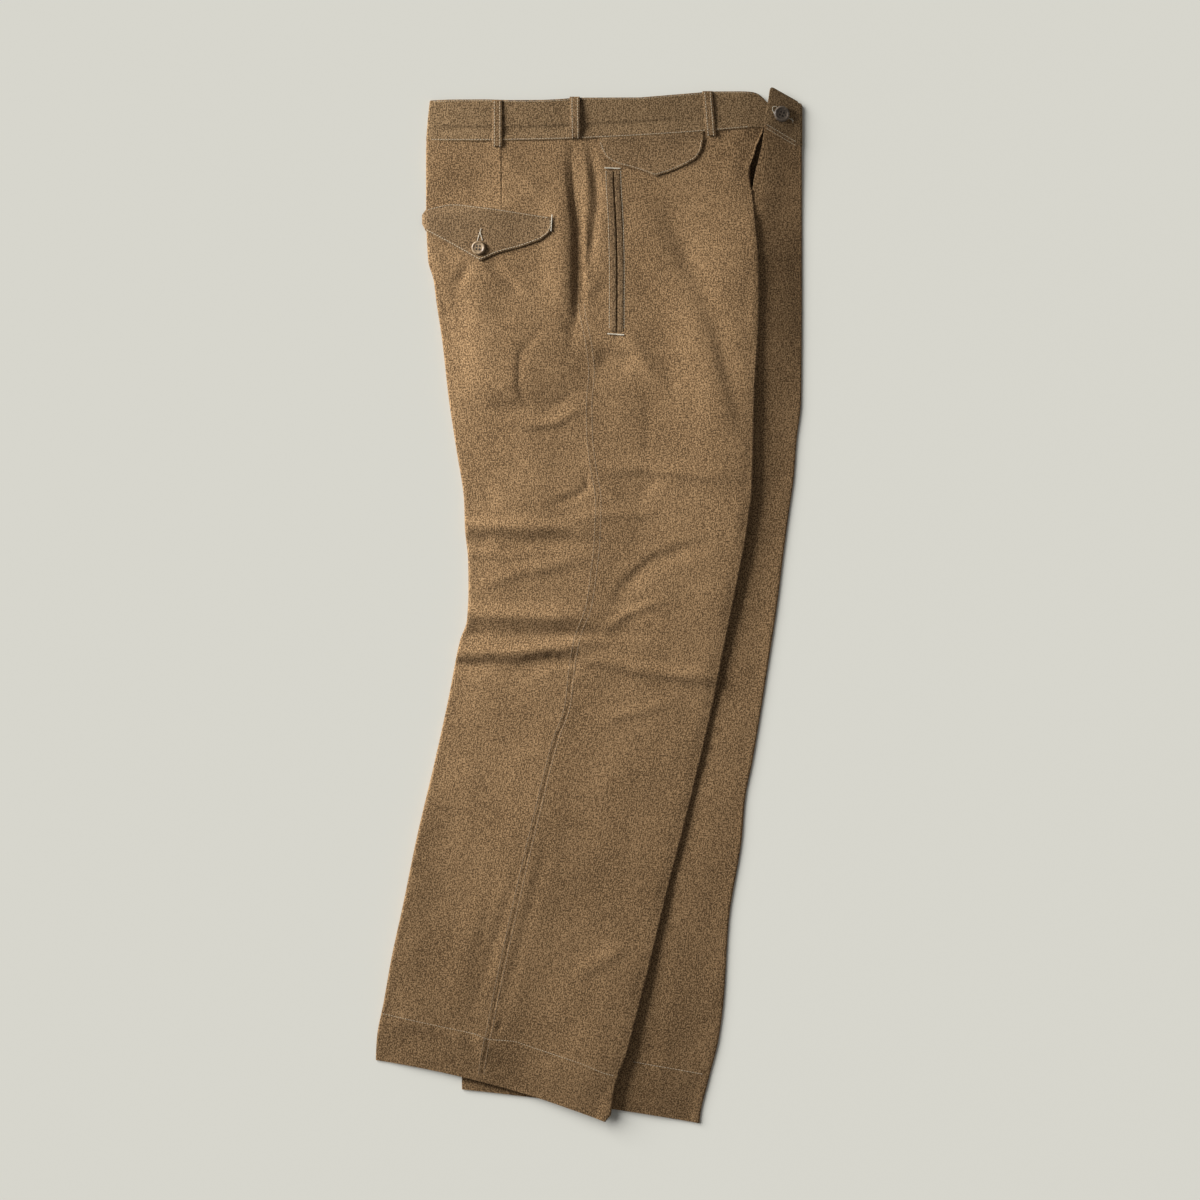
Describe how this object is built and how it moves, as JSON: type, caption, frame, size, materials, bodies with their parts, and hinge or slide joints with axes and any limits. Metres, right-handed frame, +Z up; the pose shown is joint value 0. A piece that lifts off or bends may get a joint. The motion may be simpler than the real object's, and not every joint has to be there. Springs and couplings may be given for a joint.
{
  "type": "chino trousers",
  "caption": "Brown heathered twill chino trousers laid flat on one side, with belt loops, a buttoned waistband tab, a watch pocket flap, a welted side pocket and a buttoned back pocket flap.",
  "frame": {"origin": "middle of the outline on the ground that the trousers lie on", "axes": "+Y from the hems to the waist, +X from the seat to the fly, +Z up from the ground through the layers of cloth"},
  "size_m": [0.4526, 1.0994, 0.0162],
  "materials": {
    "twill": "matte heathered brown cotton twill with ecru top stitching",
    "waistband_twill": "matte heathered brown cotton twill, folded double",
    "flap_twill": "matte heathered brown cotton twill with an edge stitch",
    "loop_twill": "matte heathered brown cotton twill with two rows of stitches",
    "pale_horn": "mottled pale horn, satin gloss",
    "dark_horn": "dark brown horn, glossy rim"
  },
  "bodies": {
    "root": {"right_front": "twill", "right_back": "twill", "left_front": "twill", "left_back": "twill", "waistband_right": "waistband_twill", "waistband_left": "waistband_twill", "fly_shield": "twill", "back_pocket_flap": "flap_twill", "watch_pocket_flap": "flap_twill", "side_pocket_welt_back": "flap_twill", "side_pocket_welt_front": "flap_twill", "belt_loop_back": "loop_twill", "belt_loop_side": "loop_twill", "belt_loop_front": "loop_twill", "back_pocket_button": "pale_horn", "waist_button": "dark_horn"}
  },
  "joints": []
}
